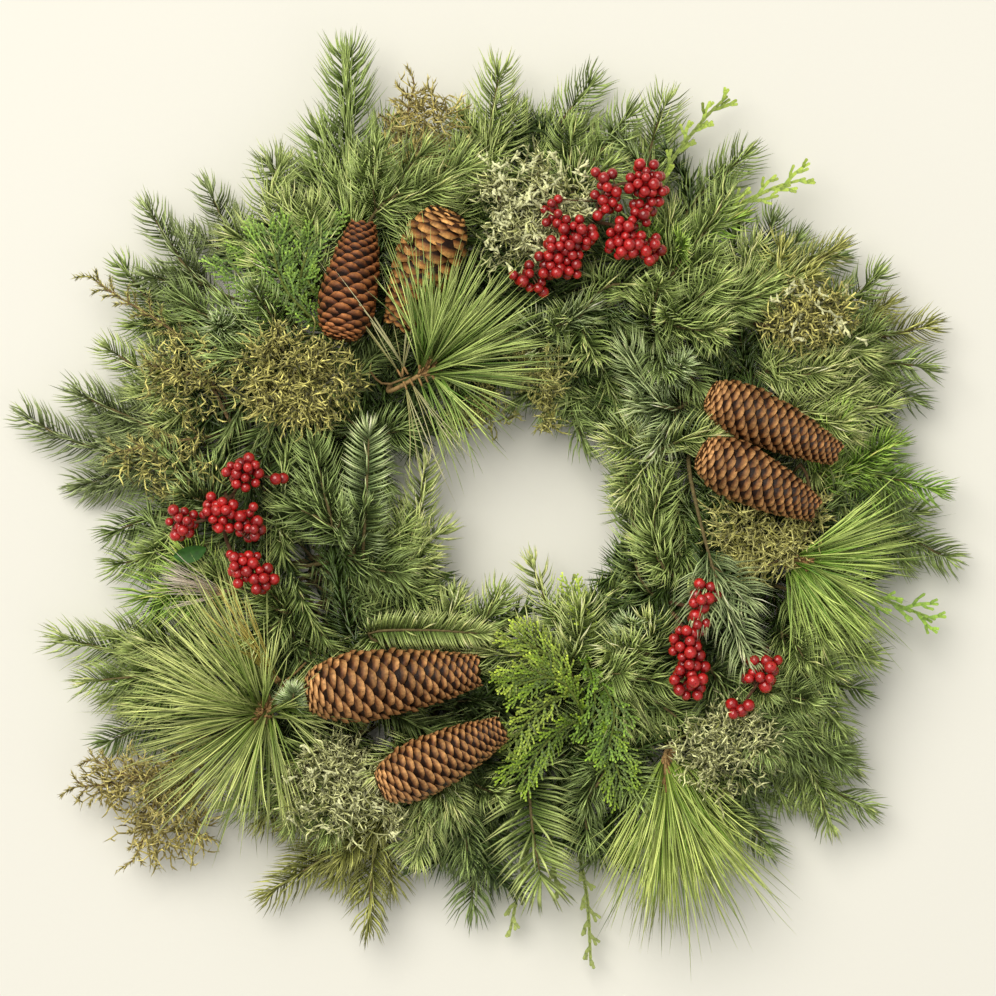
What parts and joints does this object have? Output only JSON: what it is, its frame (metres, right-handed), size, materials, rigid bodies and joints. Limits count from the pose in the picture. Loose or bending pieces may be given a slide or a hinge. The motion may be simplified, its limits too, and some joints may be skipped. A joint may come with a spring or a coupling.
{
  "type": "fresh evergreen wreath",
  "caption": "Round door wreath of fresh fir, white pine, cedar and lichened twigs wired to a double-wire ring, trimmed with spruce cones and red berries.",
  "frame": {"origin": "centre of the wreath's outline, on the surface that its back lies on", "axes": "+Z out of the wreath's front, +Y towards its top as hung, +X to the right seen from the front"},
  "size_m": [0.6336, 0.6154, 0.1186],
  "materials": {
    "green_wire": "satin dark green enamel",
    "fir": "fresh fir needles, waxy and softly shining, on olive twigs",
    "pine": "long bright white pine needles",
    "cedar": "scale-leaved cedar fronds, yellow green",
    "lichen": "dry juniper and lichen, pale olive, matt",
    "cone": "dry overlapping woody scales, lighter at their edges",
    "berry": "smooth glossy red skin"
  },
  "bodies": {
    "root": {"berry_spray_1": "berry", "berry_spray_2": "berry", "berry_spray_3": "berry", "berry_spray_4": "berry", "binding_wire": "green_wire", "cedar_spray_1": "cedar", "cedar_spray_2": "cedar", "cedar_spray_3": "cedar", "cedar_spray_4": "cedar", "cedar_spray_5": "cedar", "cone_wire_1": "green_wire", "cone_wire_2": "green_wire", "cone_wire_3": "green_wire", "fir_bough_1": "fir", "fir_bough_10": "fir", "fir_bough_11": "fir", "fir_bough_12": "fir", "fir_bough_13": "fir", "fir_bough_14": "fir", "fir_bough_15": "fir", "fir_bough_16": "fir", "fir_bough_17": "fir", "fir_bough_18": "fir", "fir_bough_19": "fir", "fir_bough_2": "fir", "fir_bough_20": "fir", "fir_bough_21": "fir", "fir_bough_22": "fir", "fir_bough_23": "fir", "fir_bough_24": "fir", "fir_bough_25": "fir", "fir_bough_3": "fir", "fir_bough_4": "fir", "fir_bough_5": "fir", "fir_bough_6": "fir", "fir_bough_7": "fir", "fir_bough_8": "fir", "fir_bough_9": "fir", "lichen_twig_1": "lichen", "lichen_twig_10": "lichen", "lichen_twig_2": "lichen", "lichen_twig_3": "lichen", "lichen_twig_4": "lichen", "lichen_twig_5": "lichen", "lichen_twig_6": "lichen", "lichen_twig_7": "lichen", "lichen_twig_8": "lichen", "lichen_twig_9": "lichen", "pine_tuft_1": "pine", "pine_tuft_2": "pine", "pine_tuft_3": "pine", "pine_tuft_4": "pine", "spruce_cone_1": "cone", "spruce_cone_2": "cone", "spruce_cone_3": "cone", "spruce_cone_4": "cone", "spruce_cone_5": "cone", "spruce_cone_6": "cone", "wire_frame": "green_wire"}
  },
  "joints": []
}
